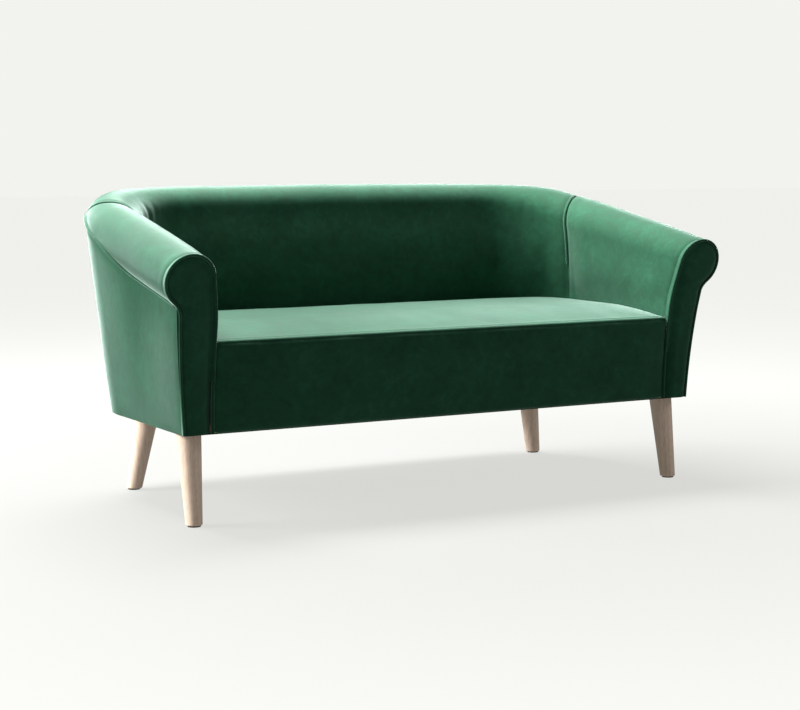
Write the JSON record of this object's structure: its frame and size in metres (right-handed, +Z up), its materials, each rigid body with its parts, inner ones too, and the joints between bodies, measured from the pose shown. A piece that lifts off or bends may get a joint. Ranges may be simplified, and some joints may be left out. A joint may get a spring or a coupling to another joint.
{
  "type": "upholstered sofa",
  "caption": "Upholstered tub sofa for two or three, with scrolled arms that rise into a curved padded back, a fixed seat and splayed turned wooden legs.",
  "frame": {"origin": "on the floor under the middle of the sofa's bounding box", "axes": "+X to the right seen from the front, along the seat; -Y is where the seat faces; +Z up"},
  "size_m": [1.5316, 0.8092, 0.753],
  "materials": {
    "velvet": "green short-pile velvet with a soft sheen",
    "lining_cloth": "black spun-bonded lining",
    "foam": "open-cell upholstery foam",
    "felt": "grey needled felt",
    "webbing": "woven elastic webbing",
    "beech": "pale matt lacquered beech",
    "fibreboard": "thin hardboard",
    "spring_steel": "drawn spring wire",
    "zinc_steel": "zinc plated",
    "glide": "black plastic glide",
    "plywood": "birch plywood",
    "pine": "planed pine"
  },
  "bodies": {
    "root": {"arm_base_rail_left": "pine", "arm_base_rail_right": "pine", "arm_facing_cover_left": "velvet", "arm_facing_cover_right": "velvet", "arm_facing_foam_left": "foam", "arm_facing_foam_right": "foam", "arm_facing_piping_left": "velvet", "arm_facing_piping_right": "velvet", "arm_front_board_left": "plywood", "arm_front_board_right": "plywood", "arm_shelves": "plywood", "arm_top_rail_left": "pine", "arm_top_rail_right": "pine", "back_base_rail": "pine", "back_posts": "pine", "back_shelf": "plywood", "back_spacers": "pine", "back_top_rail": "pine", "corner_base_rail_left": "pine", "corner_base_rail_right": "pine", "corner_top_rail_left": "pine", "corner_top_rail_right": "pine", "dust_cover": "lining_cloth", "front_border_cover": "velvet", "front_border_foam": "foam", "front_corner_blocks": "pine", "front_left_leg": "beech", "front_right_leg": "beech", "front_seat_rail": "pine", "inside_arm_cover_left": "velvet", "inside_arm_cover_right": "velvet", "inside_arm_foam_left": "foam", "inside_arm_foam_right": "foam", "inside_back_cover": "velvet", "inside_back_foam": "foam", "inside_webbing": "webbing", "leg_bolts": "zinc_steel", "leg_glides": "glide", "leg_plates": "zinc_steel", "outside_arm_cover_left": "velvet", "outside_arm_cover_right": "velvet", "outside_arm_panel_left": "fibreboard", "outside_arm_panel_right": "fibreboard", "outside_back_cover": "velvet", "outside_back_panel": "fibreboard", "plate_screws": "zinc_steel", "rear_arm_posts": "pine", "rear_left_leg": "beech", "rear_leg_blocks": "pine", "rear_right_leg": "beech", "rear_seat_rail": "pine", "roll_piping": "velvet", "seat_bearers": "pine", "seat_cover": "velvet", "seat_foam": "foam", "seat_springs": "spring_steel", "side_seat_rail_left": "pine", "side_seat_rail_right": "pine", "spring_clips": "zinc_steel", "spring_felt": "felt"}
  },
  "joints": []
}
